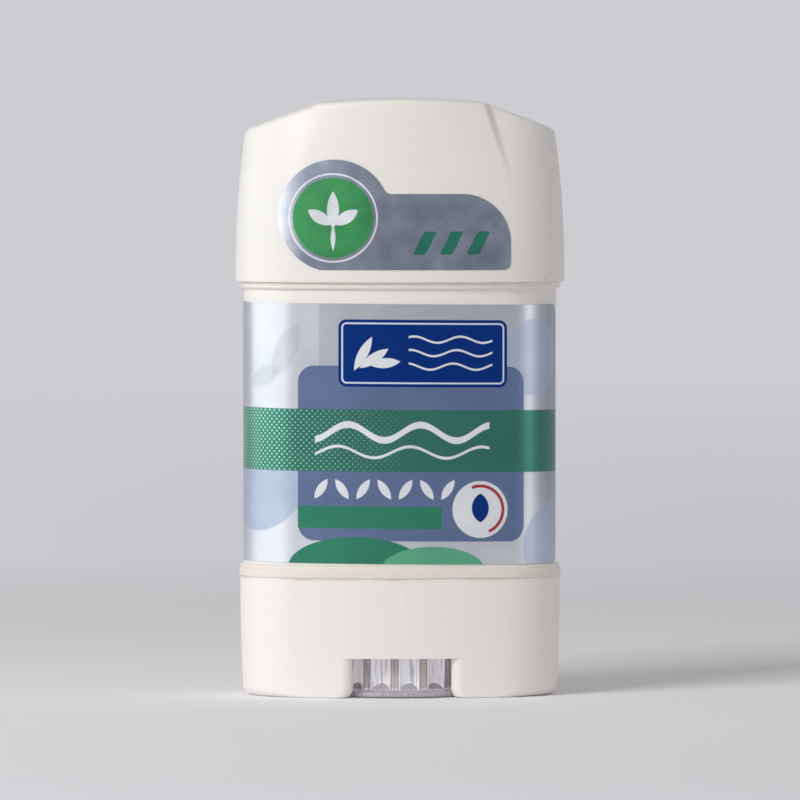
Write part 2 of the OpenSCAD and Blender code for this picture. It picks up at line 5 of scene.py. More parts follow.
import bmesh
import bpy
import numpy as np
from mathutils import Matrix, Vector


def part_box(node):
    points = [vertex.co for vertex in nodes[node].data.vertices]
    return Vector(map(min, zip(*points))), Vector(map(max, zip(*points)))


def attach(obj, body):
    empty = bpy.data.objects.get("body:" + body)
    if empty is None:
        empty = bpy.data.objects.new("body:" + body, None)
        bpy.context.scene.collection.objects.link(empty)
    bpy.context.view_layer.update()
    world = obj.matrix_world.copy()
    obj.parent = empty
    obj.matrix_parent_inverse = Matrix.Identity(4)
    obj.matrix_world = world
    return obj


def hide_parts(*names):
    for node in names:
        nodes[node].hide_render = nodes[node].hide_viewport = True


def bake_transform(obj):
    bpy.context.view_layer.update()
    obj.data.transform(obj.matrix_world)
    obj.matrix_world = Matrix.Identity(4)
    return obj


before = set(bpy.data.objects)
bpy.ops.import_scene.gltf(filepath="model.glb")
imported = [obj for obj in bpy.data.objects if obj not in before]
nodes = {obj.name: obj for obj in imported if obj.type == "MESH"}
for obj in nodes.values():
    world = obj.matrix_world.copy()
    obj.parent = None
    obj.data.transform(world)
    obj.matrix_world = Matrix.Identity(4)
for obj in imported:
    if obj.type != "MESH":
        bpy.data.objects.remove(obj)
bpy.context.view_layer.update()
MM = 0.001


# Table, lamps and camera
# The pack stands on a pale matt table, seen almost level and a little from the left. One large
# soft lamp hangs over the left of the front, one stands low at the left and a narrow one at the right.
class Wire:
    """A socket that can be used in sums. new() adds any other node to the same tree."""

    def __init__(self, tree, socket=None):
        self.tree = tree
        self.socket = socket

    def new(self, kind, settings=None, inputs=None, out=0):
        """Adds a node: its settings first, then each input's value or link, by name or number."""
        node = self.tree.nodes.new(kind)
        for name, value in (settings or {}).items():
            setattr(node, name, value)
        for name, value in (inputs or {}).items():
            sockets = {s.name: s for s in reversed(node.inputs)}
            sockets.update({s.identifier: s for s in node.inputs})
            socket = node.inputs[name] if isinstance(name, int) else sockets[name]
            if isinstance(value, Wire):
                self.tree.links.new(value.socket, socket)
            else:
                socket.default_value = value
        return Wire(self.tree, node.outputs[out])

    def math(self, operation, *values, clamp=False):
        settings = {"operation": operation, "use_clamp": clamp}
        return self.new("ShaderNodeMath", settings, dict(enumerate(values)))

    def __add__(self, other):
        return self.math("ADD", self, other)

    def __sub__(self, other):
        return self.math("SUBTRACT", self, other)

    def __rsub__(self, other):
        return self.math("SUBTRACT", other, self)

    def __mul__(self, other):
        return self.math("MULTIPLY", self, other)

    def __truediv__(self, other):
        return self.math("DIVIDE", self, other)

    def __pow__(self, other):
        return self.math("POWER", self, other)

    def __abs__(self):
        return self.math("ABSOLUTE", self)

    def __mod__(self, other):
        return self.math("FLOORED_MODULO", self, other)

    __radd__ = __add__
    __rmul__ = __mul__

    def most(self, other):
        return self.math("MAXIMUM", self, other)

    def least(self, other):
        return self.math("MINIMUM", self, other)

    def rise(self, low, high):
        """0 below low and 1 above high."""
        return self.math("MULTIPLY", self - low, 1 / (high - low), clamp=True)

    def axes(self):
        parts = self.tree.nodes.new("ShaderNodeSeparateXYZ")
        self.tree.links.new(self.socket, parts.inputs[0])
        return [Wire(self.tree, s) for s in parts.outputs]

    def near(self, middle, fade, full):
        """1 within full of the middle and 0 beyond fade."""
        return abs(self - middle).rise(fade, full)

    def paint(self, colour, over):
        """That colour where this is 1, and the other where it is 0."""
        mixed = {"Factor_Float": self, "A_Color": over, "B_Color": colour}
        return self.new("ShaderNodeMix", {"data_type": "RGBA"}, mixed, out=2)

    def seen(self):
        """1 for a ray from the camera, from a gloss or through clear plastic, and 0 for light."""
        rays = self.tree.nodes.new("ShaderNodeLightPath").outputs
        camera, glossy, through = (Wire(self.tree, rays[f"Is {kind} Ray"])
                                   for kind in ("Camera", "Glossy", "Transmission"))
        return camera.most(glossy).most(through)


def srgb(*levels):
    """A colour as it is written on a screen, 0 to 255, for a node's socket."""
    share = [v / 255 for v in levels]
    return tuple(v / 12.92 if v <= 0.04045 else ((v + 0.055) / 1.055) ** 2.4 for v in share) + (1,)


def finish(name):
    """A new material, its tree, for other nodes, and its main shader node."""
    material = bpy.data.materials.new(name)
    material.use_nodes = True
    return material, Wire(material.node_tree), material.node_tree.nodes["Principled BSDF"]


def feed(shader, **values):
    """Sets or links the shader's sockets. An underscore stands for a space."""
    for name, value in values.items():
        socket = shader.inputs[name.replace("_", " ")]
        if isinstance(value, Wire):
            value.tree.links.new(value.socket, socket)
        else:
            socket.default_value = value


camera_far, camera_high, camera_left = 2.07, 0.1195, math.radians(1.6)
aim = Vector((0, 0, 0.0572))
camera = bpy.data.objects.new("camera", bpy.data.cameras.new("camera"))
camera.data.lens, camera.data.sensor_width = 479, 36
camera.location = (-camera_far * math.sin(camera_left), -camera_far * math.cos(camera_left), camera_high)
camera.rotation_euler = (aim - camera.location).to_track_quat("-Z", "Y").to_euler()
bpy.context.scene.collection.objects.link(camera)
bpy.context.scene.camera = camera
bpy.context.scene.view_settings.view_transform = "Standard"


def lamp(name, azimuth, elevation, far, size, power, tint=(1, 1, 1)):
    """A soft lamp at that azimuth from the front, towards the left, and turned to the pack."""
    data = bpy.data.lights.new(name, "AREA")
    data.color = tint
    data.shape, data.size, data.size_y, data.energy = "RECTANGLE", *size, power
    a, e = math.radians(azimuth), math.radians(elevation)
    light = bpy.data.objects.new(name, data)
    light.location = aim + far * Vector((-math.sin(a) * math.cos(e), -math.cos(a) * math.cos(e), math.sin(e)))
    light.rotation_euler = (aim - light.location).to_track_quat("-Z", "Y").to_euler()
    bpy.context.scene.collection.objects.link(light)


lamp("upper_lamp", 40, 31, 1.3, (0.55, 0.4), 8.6)
lamp("left_lamp", 86, 5, 1.3, (1.9, 0.4), 4.0, (0.95, 0.985, 1))
lamp("right_lamp", -76, 4, 1.1, (0.25, 0.4), 0.85, (1, 0.97, 0.93))

backdrop = srgb(205, 204, 209)
world = bpy.data.worlds.new("room")
bpy.context.scene.world = world
world.use_nodes = True
room = Wire(world.node_tree)
shown = room.new("ShaderNodeBackground", None, {"Color": backdrop})
lit = room.new("ShaderNodeBackground", None, {"Color": (0.342, 0.342, 0.347, 1)})
room_mix = room.new("ShaderNodeMixShader", None, {0: room.seen(), 1: lit, 2: shown})
world.node_tree.links.new(room_mix.socket, world.node_tree.nodes["World Output"].inputs["Surface"])

floor_mesh = bpy.data.meshes.new("table")
floor_w = 6.0
corners = [(x * floor_w / 2, y * floor_w / 2, 0) for x, y in ((-1, -1), (1, -1), (1, 1), (-1, 1))]
floor_mesh.from_pydata(corners, [], [(0, 1, 2, 3)])
table = bpy.data.objects.new("table", floor_mesh)
bpy.context.scene.collection.objects.link(table)

# The near table is lit by the lamps, and its colour is painted lighter close to the pack and behind it, a
# painted pool of light.
# Further off it fades into plain tones, darker to the right as painted shade, but only as it is seen.
floor_look, net, shader = finish("table_top")
x, y, _ = net.new("ShaderNodeTexCoord", None, None, out=3).axes()
far = (x * x + y * y) ** 0.5
# painted light: the table's colour is lighter close to the pack and behind it
painted_light_tone = y.rise(-0.25, -0.02).paint(srgb(253, 252, 254), srgb(238, 237, 240))
feed(shader, Base_Color=painted_light_tone, Roughness=0.9, Specular_IOR_Level=0.1)
# painted shade: the far table's tones are darker to the right
aside = (x / (y.most(0) + camera_far)).rise(-0.037, 0.037)
low = aside.paint(srgb(195, 194, 199), srgb(203, 202, 206))
glow = net.new("ShaderNodeEmission", None, {"Color": y.rise(0.7, 2.2).paint(backdrop, low)})
faded = net.new("ShaderNodeMixShader", None, {0: far.rise(0.25, 0.6) * net.seen(), 2: glow})
floor_look.node_tree.links.new(shader.outputs[0], faded.socket.node.inputs[1])
floor_look.node_tree.links.new(faded.socket, floor_look.node_tree.nodes["Material Output"].inputs[0])
table.data.materials.append(floor_look)


# Base skirt
# One white polypropylene moulding: an oval ring with a thumb window front and back, and a deck
# across it that carries the screw. The barrel's spigot snaps into its top.
barrel_w, barrel_d, end_r = 60.7 * MM, 34 * MM, 14.5 * MM
half_w, half_d = barrel_w / 2, barrel_d / 2
end_x = half_w - end_r
face_r = (end_x**2 + half_d**2 - end_r**2) / (2 * (half_d - end_r))
face_y = face_r - half_d
end_a = math.atan2(face_y, end_x)


def plan(out, z, end_steps=72, face_steps=52):
    """A ring of points at height z round the pack's oval, out outside the barrel's face."""
    end = np.linspace(-end_a, end_a, end_steps, endpoint=False)
    face = np.linspace(end_a, math.pi - end_a, face_steps, endpoint=False)
    x = np.concatenate([end_x + (end_r + out) * np.cos(end), (face_r + out) * np.cos(face)])
    y = np.concatenate([(end_r + out) * np.sin(end), (face_r + out) * np.sin(face) - face_y])
    return np.stack([np.tile(x, 2) * np.repeat([1, -1], len(x)),
                     np.tile(y, 2) * np.repeat([1, -1], len(y)),
                     np.full(2 * len(x), z)], 1)


def circle(r, z):
    """A round ring with a point for each point of the oval, in the same direction."""
    ring = plan(0, z)
    ring[:, :2] *= r / np.hypot(ring[:, 0], ring[:, 1])[:, None]
    return ring


def rounded(corners, steps=5):
    """A closed section's [out, z] points, where each corner [out, z, radius] becomes an arc."""
    points = []
    for k, (x, z, r) in enumerate(corners):
        here = Vector((x, z))
        before = (Vector(corners[k - 1][:2]) - here).normalized()
        after = (Vector(corners[(k + 1) % len(corners)][:2]) - here).normalized()
        if r == 0:
            points.append(here)
            continue
        half = before.angle(after) / 2
        middle = here + (before + after).normalized() * r / math.sin(half)
        a = here + before * r / math.tan(half) - middle
        b = here + after * r / math.tan(half) - middle
        turn = a.angle_signed(b)
        for t in range(steps + 1):
            angle = math.atan2(a.y, a.x) - turn * t / steps
            points.append(middle + r * Vector((math.cos(angle), math.sin(angle))))
    return points


def smooth(mesh, degrees=32):
    """Shades a mesh smooth, but for its edges sharper than that."""
    mesh.shade_smooth()
    mesh.set_sharp_from_angle(angle=math.radians(degrees))


def solid(name, points, faces):
    """An object of that mesh, shaded smooth."""
    mesh = bpy.data.meshes.new(name)
    mesh.from_pydata(np.asarray(points).tolist(), [], faces)
    mesh.update()
    smooth(mesh)
    piece = bpy.data.objects.new(name, mesh)
    bpy.context.scene.collection.objects.link(piece)
    return piece


def band(a, b, n):
    """Faces between two rings of n points, whose first points are numbers a and b."""
    return [(a + i, a + (i + 1) % n, b + (i + 1) % n, b + i) for i in range(n)]


def loft(name, rings):
    """A closed shell through rings of points, the last joined to the first."""
    m, n = len(rings), len(rings[0])
    faces = [face for j in range(m) for face in band(j * n, (j + 1) % m * n, n)]
    return solid(name, np.concatenate(rings), faces)


def cut(piece, *cutters, operation="DIFFERENCE"):
    """Applies an exact Boolean with each cutter in turn, and removes the cutters."""
    for cutter in cutters:
        modifier = piece.modifiers.new("cut", "BOOLEAN")
        modifier.operation, modifier.solver, modifier.object = operation, "EXACT", cutter
        bake(piece)
        bpy.data.objects.remove(cutter)
    return piece


def bake(piece):
    """Makes the piece's modifiers part of its mesh, with its doubled points merged."""
    bpy.context.view_layer.update()
    shown = piece.evaluated_get(bpy.context.evaluated_depsgraph_get())
    piece.data = bpy.data.meshes.new_from_object(shown)
    piece.modifiers.clear()
    mesh = bmesh.new()
    mesh.from_mesh(piece.data)
    bmesh.ops.remove_doubles(mesh, verts=mesh.verts, dist=0.004 * MM)
    mesh.to_mesh(piece.data)
    mesh.free()
    smooth(piece.data)


def dress(piece, body, material, slot, *replaced):
    """Gives a piece its one material and its body if it has one, and hides the nodes it stands for. slot is
    not used.
    """
    piece.data.materials.clear()
    piece.data.materials.append(material)
    piece.data.polygons.foreach_set("material_index", [0] * len(piece.data.polygons))
    if body:
        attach(piece, body)
    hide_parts(*replaced)


base_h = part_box("base")[1].z
base_top_out, base_wall = 0.75 * MM, 1.5 * MM
base_draft, base_bow, end_edge_r, face_edge_r = 0.65 * MM, 2.2, 2 * MM, 0.45 * MM
foot_turn_x, foot_turn_w = 18 * MM, 8 * MM
deck_low, deck_high, boss_high = 10.4 * MM, 12 * MM, 13 * MM
journal_r, boss_wall = 5.08 * MM, 3 * MM
rim_w, rim_h = 2.8 * MM, 1.4 * MM


def base_face(z):
    return base_top_out - base_draft * (1 - z / base_h) ** base_bow


def ease(t):
    """0 to 1, with a soft start and end."""
    return t * t * (3 - 2 * t)


def foot_ring(a):
    """A ring of the foot's rounded edge at angle a, of a larger radius at the ends than on the faces."""
    at_end, on_face = (plan(base_face(r) - r * (1 - math.cos(a)), r * (1 + math.sin(a)))
                       for r in (end_edge_r, face_edge_r))
    share = ease(np.clip((np.abs(on_face[:, :1]) - foot_turn_x) / foot_turn_w, 0, 1))
    return on_face * (1 - share) + at_end * share


flank_top = base_h - 1 * MM
flank = [(base_face(z), z) for z in np.linspace(end_edge_r, flank_top, 16)]
top_edge = rounded([(base_top_out, flank_top, 0), (base_top_out, base_h, 0.12 * MM),
                    (base_top_out - base_wall, base_h, 0.2 * MM), (base_top_out - base_wall, deck_high, 0)])
rim_in = base_face(0) - rim_w
skirt = [foot_ring(a) for a in np.radians(np.linspace(-90, 0, 13))]
skirt += [plan(o, z) for o, z in flank[1:] + [tuple(p) for p in top_edge[1:]]]
skirt += [circle(r, z) for r, z in ((journal_r + boss_wall, deck_high), (journal_r + boss_wall, boss_high),
                                    (journal_r, boss_high), (journal_r, deck_low))]
skirt += [plan(base_top_out - base_wall, deck_low), plan(base_face(0) - base_wall, rim_w + rim_h - base_wall),
          plan(rim_in, rim_h), plan(rim_in, 0)]
base = loft("base_skirt", skirt)

window_w, window_h, flare_r, window_foot_r = 18.9 * MM, 7.7 * MM, 1.9 * MM, 1.7 * MM


def window_outline(z):
    """The front window's edge at height z: its upright edges round over into the outer face."""
    foot = max(0, face_edge_r - max(z, 0))
    out = base_face(max(z, face_edge_r)) - face_edge_r + math.sqrt(face_edge_r**2 - foot**2)
    corner = max(0, window_foot_r - max(z, 0))
    wide = window_w / 2 + window_foot_r - math.sqrt(window_foot_r**2 - corner**2)
    r = face_r + out
    lean = math.asin((wide + flare_r) / (r - flare_r))
    middle = Vector((-wide - flare_r, face_y - (r - flare_r) * math.cos(lean)))
    left = [middle - k * Vector((math.sin(lean), math.cos(lean))) for k in (3 * flare_r, flare_r)]
    left += [middle + flare_r * Vector((-math.sin(a), -math.cos(a)))
             for a in np.linspace(lean, -math.pi / 2, 12)[1:]] + [Vector((-wide, -half_d / 2))]
    return [(-px, py, z) for px, py in left] + [(px, py, z) for px, py in left[::-1]]


def stack(name, outlines):
    """A solid through outlines laid one above another, each anticlockwise from above."""
    m, n = len(outlines), len(outlines[0])
    sides = [face for j in range(m - 1) for face in band(j * n, (j + 1) * n, n)]
    ends = [tuple(range(n))[::-1], tuple(range((m - 1) * n, m * n))]
    return solid(name, [p for outline in outlines for p in outline], sides + ends)


heights = [-1 * MM, 0] + [face_edge_r * k / 6 for k in range(1, 7)]
heights += [window_foot_r, 2 * MM, 4 * MM, 6 * MM, window_h]
for side in (1, -1):
    cut(base, stack("window", [
        [(side * px, side * py, pz) for px, py, pz in window_outline(z)] for z in heights]))

# The one white plastic of base, barrel and cap, clouded and grained. The base is painted a little whiter, as
# painted light thrown up from the table, the foot bead is warmer, dirt lies in the seam under it, and a
# streak and a speck mark the front.
seam_z, bead_top_z, collar_line_z = 22.95 * MM, 25.8 * MM, 80 * MM
streak_x, streak_z, speck_x, speck_z = -0.2 * MM, 18.5 * MM, 27.8 * MM, 81 * MM
white, net, shader = finish("white_shell")
place = net.new("ShaderNodeTexCoord", None, None, out=3)
x, y, z = place.axes()
cloud = net.new("ShaderNodeTexNoise", None, {"Vector": place, "Scale": 55.0, "Detail": 3.0})
grain = net.new("ShaderNodeTexNoise", None, {"Vector": place, "Scale": 1500.0, "Detail": 3.0})
colour = cloud.rise(0.35, 0.65).paint((0.855, 0.83, 0.78, 1), (0.83, 0.805, 0.755, 1))
# painted light: the base below the seam is painted whiter, for light thrown up from the table
colour = (z.rise(seam_z + 0.05 * MM, seam_z - 0.45 * MM) * 0.8).paint((0.9, 0.865, 0.82, 1), colour)
bead = z.rise(seam_z, seam_z + 0.1 * MM) * z.rise(bead_top_z, bead_top_z - 0.6 * MM)
colour = ((cloud.rise(0.35, 0.6) * 0.4 + 0.6) * bead).paint((0.83, 0.755, 0.68, 1), colour)
dirt = net.new("ShaderNodeTexNoise", None, {"Vector": place, "Scale": 90.0, "Detail": 2.0})
seam = z.near(seam_z, 0.35 * MM, 0.1 * MM) * dirt.rise(0.42, 0.62)
colour = (seam * 0.6).paint((0.6, 0.42, 0.28, 1), colour)
colour = (z.near(collar_line_z, 0.8 * MM, 0.2 * MM) * 0.25).paint((0.8, 0.72, 0.58, 1), colour)
front = y.rise(-5 * MM, -6 * MM)
streak = x.near(streak_x, 0.14 * MM, 0.06 * MM) * z.near(streak_z, 2.4 * MM, 1.6 * MM) * front
colour = (streak * 0.7).paint((0.95, 0.94, 0.92, 1), colour)
speck = x.near(speck_x, 0.2 * MM, 0.08 * MM) * z.near(speck_z, 0.2 * MM, 0.08 * MM) * front
colour = (speck * 0.5).paint((0.4, 0.4, 0.32, 1), colour)
feed(shader, Base_Color=colour, Roughness=cloud * 0.1 + 0.36, Normal=net.new(
    "ShaderNodeBump", None, {"Height": grain + cloud * 4, "Strength": 0.25, "Distance": 0.01 * MM}))
dress(base, "barrel", white, "white_shell", "base")


# Dial
# A clear polystyrene thumb wheel, fluted for grip, with a thin flange at its foot that shows in
# the windows. It is moulded hollow, open below, round a hub whose hexagonal hole grips the screw.
class Tree(Wire):
    """A Geometry Nodes tree whose sizes are named inputs."""

    def __init__(self, name):
        super().__init__(bpy.data.node_groups.new(name, "GeometryNodeTree"))
        self.tree.interface.new_socket("Geometry", in_out="INPUT", socket_type="NodeSocketGeometry")
        self.tree.interface.new_socket("Geometry", in_out="OUTPUT", socket_type="NodeSocketGeometry")
        self.start = self.tree.nodes.new("NodeGroupInput")
        self.sizes = {}

    def size(self, name, value):
        """A named input of the tree, a whole number or a length, and its value."""
        kind = "NodeSocketInt" if isinstance(value, int) else "NodeSocketFloat"
        made = self.tree.interface.new_socket(name, in_out="INPUT", socket_type=kind)
        self.sizes[made.identifier] = value
        return Wire(self.tree, self.start.outputs[name])

    def given(self):
        return Wire(self.tree, self.start.outputs["Geometry"])

    def apply(self, piece, geometry, material):
        """Ends the tree, runs it on the piece with its sizes, and keeps the mesh that it makes."""
        real = self.new("GeometryNodeRealizeInstances", None, {0: geometry})
        painted = self.new("GeometryNodeSetMaterial", None, {"Geometry": real, "Material": material})
        end = self.tree.nodes.new("NodeGroupOutput")
        self.tree.links.new(painted.socket, end.inputs[0])
        modifier = piece.modifiers.new(self.tree.name, "NODES")
        modifier.node_group = self.tree
        for identifier, value in self.sizes.items():
            modifier[identifier] = value
        bake(piece)


dial_low, dial_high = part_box("dial")[0].z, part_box("dial")[1].z
flange_r, ridge_r, flute_depth, flute_r, flute_count = 16 * MM, 13.5 * MM, 1.1 * MM, 2.2 * MM, 15
root_r = ridge_r - flute_depth
dial_bore, dial_roof, hub_r, key_r, axle_r = root_r - 2 * MM, 2 * MM, 5.1 * MM, 2.95 * MM, 0.5 * MM
cone_high_r, rim_top_z = root_r - 0.4 * MM, dial_low + 0.8 * MM
cone_low_z, cone_high_z = dial_low + 1.3 * MM, dial_low + 2.9 * MM

# The plastic is clear, and its wall shows darker than the sloping flange, with pale ridges between thin dark
# lines.
# Its light and shade are painted: the emission is a painted glow for the light that comes through it from all
# round, its colour is painted lighter in the wall, and the thin dark lines are painted shade.
clear, net, shader = finish("clear_styrene")
place = net.new("ShaderNodeTexCoord", None, None, out=3)
x, y, z = place.axes()
r = (x * x + y * y) ** 0.5
turns = y.math("ARCTAN2", y, x) * (flute_count / (2 * math.pi))
off_ridge = 0.5 - abs(turns % 1 - 0.5)
cone_z = cone_low_z + (ridge_r - r) * ((cone_high_z - cone_low_z) / (ridge_r - cone_high_r))
above = z - cone_z
drum_face = r.rise(cone_high_r, cone_high_r + 0.2 * MM) * r.rise(ridge_r + 0.3 * MM, ridge_r + 0.1 * MM)
wall = above.rise(0.02 * MM, 0.12 * MM) * drum_face
ridge = wall * off_ridge.rise(0.13, 0.11)
drawn = net.new("ShaderNodeVectorMath", {"operation": "MULTIPLY"}, {0: place, 1: (1, 1, 0.05)})
grain = net.new("ShaderNodeTexNoise", None, {"Vector": drawn, "Scale": 2400.0, "Detail": 3.0})
# painted shade: thin dark lines at the ridges' edges, with darker drawn grain
dark = (off_ridge.near(0.12, 0.03, 0.012) * wall).most(grain.rise(0.52, 0.62) * 0.75)
# painted light: the wall's colour is lighter than that of the flange and the inside
tint = wall.paint((0.93, 0.92, 0.955, 1), (0.6, 0.575, 0.605, 1))
tint = ridge.paint((0.62, 0.55, 0.53, 1), tint)
tint = (dark * 0.7).paint((0.3, 0.28, 0.3, 1), tint)
# painted glow: the emission stands for light coming through the plastic, strongest in the wall and just above
# the flange, weaker on the ridges
through = wall.paint((0.235, 0.23, 0.25, 1), (0.022, 0.02, 0.023, 1))
through = ridge.paint((0.1, 0.083, 0.08, 1), through)
through = (above.rise(0.35 * MM, 0.15 * MM) * wall).paint((0.36, 0.35, 0.38, 1), through)
through = (dark * 0.85).paint((0.01, 0.01, 0.01, 1), through)
bump = net.new("ShaderNodeBump", None, {"Height": grain, "Strength": 0.4, "Distance": 0.05 * MM})
feed(shader, Base_Color=tint, Transmission_Weight=0.3, IOR=1.49, Roughness=grain * 0.05 + 0.08,
     Emission_Color=through, Emission_Strength=1.0, Normal=bump)


def turned(name, section, count=240):
    """A solid of revolution about the pack's middle, from a closed section of [r, z] points."""
    a = np.linspace(0, 2 * math.pi, count, endpoint=False)
    rings = [np.stack([r * np.cos(a), r * np.sin(a), np.full(count, z)], 1) for r, z in section]
    return loft(name, rings)


drum = turned("clear_dial", rounded([
    (axle_r, dial_low, 0), (ridge_r, dial_low, 0), (ridge_r, dial_high, 0.35 * MM),
    (axle_r, dial_high, 0)]))
drum_tree = Tree("flutes")
count, at, wide = (drum_tree.size(*pair) for pair in (
    ("Count", flute_count), ("Centre radius", root_r + flute_r), ("Flute radius", flute_r)))
ring = drum_tree.new("GeometryNodeMeshCircle", None, {"Vertices": count, "Radius": at})
ring = drum_tree.new("GeometryNodeTransform", None, {
    "Geometry": ring, "Rotation": (0, 0, math.pi / flute_count)})
groove = drum_tree.new("GeometryNodeMeshCylinder", None, {"Vertices": 48, "Radius": wide, "Depth": 40 * MM})
grooves = drum_tree.new("GeometryNodeInstanceOnPoints", None, {"Points": ring, "Instance": groove})
grooves = drum_tree.new("GeometryNodeRealizeInstances", None, {0: grooves})
fluted = drum_tree.new("GeometryNodeMeshBoolean", {"operation": "DIFFERENCE", "solver": "EXACT"},
                       {0: drum_tree.given(), 1: grooves})
drum_tree.apply(drum, fluted, clear)
flange = turned("flange", rounded([
    (axle_r, dial_low, 0), (flange_r, dial_low, 0.25 * MM), (flange_r, rim_top_z, 0.3 * MM),
    (ridge_r, cone_low_z, 0.5 * MM), (cone_high_r, cone_high_z, 0), (axle_r, cone_high_z, 0)]))
hollow = turned("hollow", rounded([
    (hub_r, dial_low - MM, 0), (dial_bore, dial_low - MM, 0), (dial_bore, dial_high - dial_roof, 0.5 * MM),
    (hub_r, dial_high - dial_roof, 0.5 * MM)]))
hexagons = [[(key_r * math.cos(a), key_r * math.sin(a), z) for a in np.radians(range(0, 360, 60))]
            for z in (dial_low - MM, dial_low + 19 * MM)]
cut(drum, flange, operation="UNION")
cut(drum, hollow, stack("key", hexagons))
dress(drum, "dial", clear, "clear_plastic", "dial")


# Screw
# The two-start spindle that the dial turns, moulded in the same white plastic as the inside
# pieces. It comes whole from the model and stays hidden, so only its finish is set here.
insert, net, shader = finish("white_insert")
place = net.new("ShaderNodeTexCoord", None, None, out=3)
grain = net.new("ShaderNodeTexNoise", None, {"Vector": place, "Scale": 1400.0, "Detail": 4.0})
feed(shader, Base_Color=grain.rise(0.3, 0.7).paint((0.8, 0.8, 0.785, 1), (0.77, 0.77, 0.752, 1)),
     Roughness=grain * 0.12 + 0.34, Normal=net.new(
         "ShaderNodeBump", None, {"Height": grain, "Strength": 0.2, "Distance": 0.02 * MM}))
nodes["screw"].data.materials.clear()
nodes["screw"].data.materials.append(insert)


# Elevator
# The piston, one white moulding with two wiper lips, ribs and a threaded hub that rides up the
# screw. It comes whole from the model, and takes the same finish as the screw.
nodes["elevator"].data.materials.clear()
nodes["elevator"].data.materials.append(insert)


# Barrel
# The white oval barrel, moulded with its foot bead, the collar bead that the cap stands on, a
# neck with a snap bead, and a floor with a bush for the screw. Its spigot plugs into the base.
foot_z, neck_top = base_h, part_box("barrel")[1].z
collar_z, cap_foot = neck_top - 9.8 * MM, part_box("cap")[0].z
barrel_t, neck_in, spigot_in, spigot_h = 2.1 * MM, 0.95 * MM, 0.85 * MM, 6.4 * MM
bead_h, bead_out, bead_step_h, bead_step_out = 2.4 * MM, 0.9 * MM, 1.6 * MM, 0.68 * MM
collar_h, collar_out, collar_play = 1.2 * MM, 0.85 * MM, 0.02 * MM
snap_z, snap_h = collar_z + 4 * MM, 1.4 * MM
floor_low, floor_high = foot_z + 1 * MM, foot_z + 2.8 * MM
bush_bore, bush_r, bush_low = 4.68 * MM, 7.5 * MM, foot_z - 5.2 * MM
straight = [(0, z, 0) for z in np.linspace(foot_z + bead_h + 0.4 * MM, collar_z - collar_h - 0.3 * MM, 12)]
barrel_wall = rounded([
    (-barrel_t, foot_z - spigot_h, 0.2 * MM), (-spigot_in, foot_z - spigot_h, 0.5 * MM),
    (-spigot_in, foot_z, 0), (bead_out, foot_z, 0.08 * MM), (bead_out, foot_z + bead_step_h, 0.2 * MM),
    (bead_step_out, foot_z + bead_step_h + 0.1 * MM, 0.1 * MM), (bead_step_out, foot_z + bead_h, 0.35 * MM),
    (0, foot_z + bead_h, 0.2 * MM)] + straight + [
    (0, collar_z - collar_h, 0.25 * MM), (collar_out, collar_z - collar_h, 0.6 * MM),
    (collar_out, cap_foot - collar_play, 0.1 * MM), (-neck_in, cap_foot - collar_play, 0.15 * MM),
    (-neck_in, snap_z, 0), (0, snap_z + snap_h / 3, 0.2 * MM), (0, snap_z + 2 * snap_h / 3, 0.2 * MM),
    (-neck_in, snap_z + snap_h, 0), (-neck_in, neck_top, 0.2 * MM), (-barrel_t, neck_top, 0.2 * MM)])
floor_rings = [(bush_bore, floor_high), (bush_bore, bush_low), (bush_r, bush_low), (bush_r, floor_low)]
barrel = loft("barrel_shell", [plan(o, z) for o, z in barrel_wall] + [plan(-barrel_t, floor_high)]
              + [circle(r, z) for r, z in floor_rings] + [plan(-barrel_t, floor_low)])
dress(barrel, "barrel", white, "white_shell", "barrel")


# Cream
# The product: one soft body that fills the barrel from the piston to the dome. It shows only through the
# holes.
paste, net, shader = finish("cream")
place = net.new("ShaderNodeTexCoord", None, None, out=3)
lumps = net.new("ShaderNodeTexNoise", None, {"Vector": place, "Scale": 260.0, "Detail": 4.0})
feed(shader, Base_Color=lumps.rise(0.3, 0.7).paint((0.86, 0.84, 0.78, 1), (0.83, 0.805, 0.735, 1)),
     Roughness=lumps * 0.2 + 0.25, Subsurface_Weight=0.3, Subsurface_Scale=2 * MM,
     Normal=net.new("ShaderNodeBump", None, {"Height": lumps, "Strength": 0.5, "Distance": 0.2 * MM}))
cream = bpy.data.objects.new("cream_fill", nodes["cream"].data.copy())
bpy.context.scene.collection.objects.link(cream)
bake(cream)
smooth(cream.data, 20)
dress(cream, None, paste, "cream", "cream")
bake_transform(cream)


# Applicator
# A white dome that closes the neck, moulded in one with the plug that grips inside it. The
# screw presses cream through its rows of round holes.
dome_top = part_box("applicator")[1].z
dome_long_r, dome_cross_r, dome_wall = 60 * MM, 24 * MM, 1.4 * MM
plug_out, plug_wall, plug_h = -2.2 * MM, 1.2 * MM, 2.8 * MM
hole_r, hole_pitch, row_pitch, hole_cols = 1.2 * MM, 6 * MM, 5.6 * MM, 7


def crown(ring, inset):
    """Lifts a ring of points to the dome's crown, inset below its outer face."""
    along = np.sqrt((dome_long_r - inset) ** 2 - ring[:, 0] ** 2) - (dome_long_r - dome_cross_r)
    lifted = ring.copy()
    lifted[:, 2] = dome_top - dome_cross_r + np.sqrt(along**2 - ring[:, 1] ** 2)
    return lifted


def crown_rings(out, inset, shares):
    return [crown(plan(out, 0) * [share, share, 1], inset) for share in shares]


